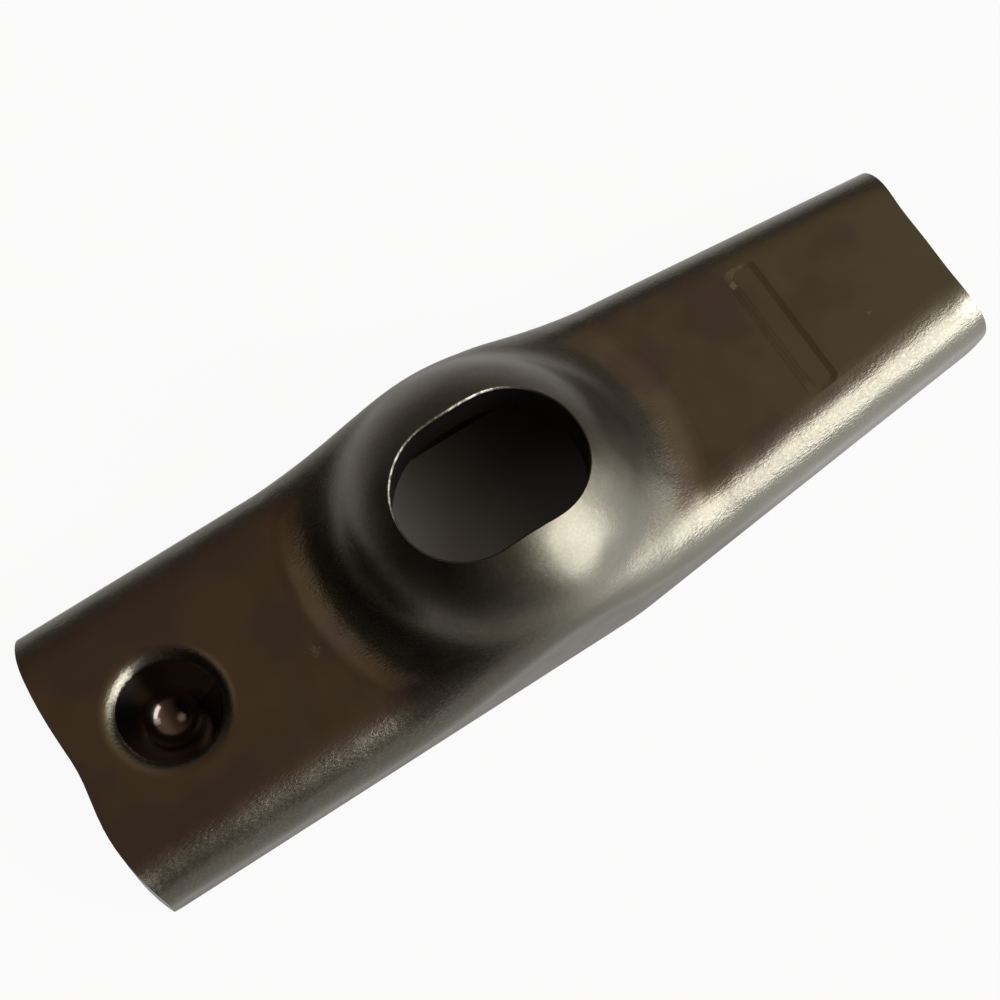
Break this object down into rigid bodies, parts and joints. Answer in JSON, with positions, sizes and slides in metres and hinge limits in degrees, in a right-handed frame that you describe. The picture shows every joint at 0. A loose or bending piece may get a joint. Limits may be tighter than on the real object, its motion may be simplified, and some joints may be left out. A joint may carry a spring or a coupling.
{
  "type": "rocker arm",
  "caption": "Stamped steel rocker arm: a shallow channel with a slotted pivot dome, a ball cup for the pushrod and a narrowed arm that bears on the valve stem.",
  "frame": {"origin": "on the pivot stud's axis, level with the flange edges that the arm lies on", "axes": "+X along the arm towards the valve end, +Z out of the web's outer face, where the dome stands"},
  "size_m": [0.0456, 0.0138, 0.0084],
  "materials": {
    "rocker_arm": "dark brown-grey, heat treated and oiled, semi-gloss"
  },
  "bodies": {
    "root": {"rocker_arm": "rocker_arm"}
  },
  "joints": []
}
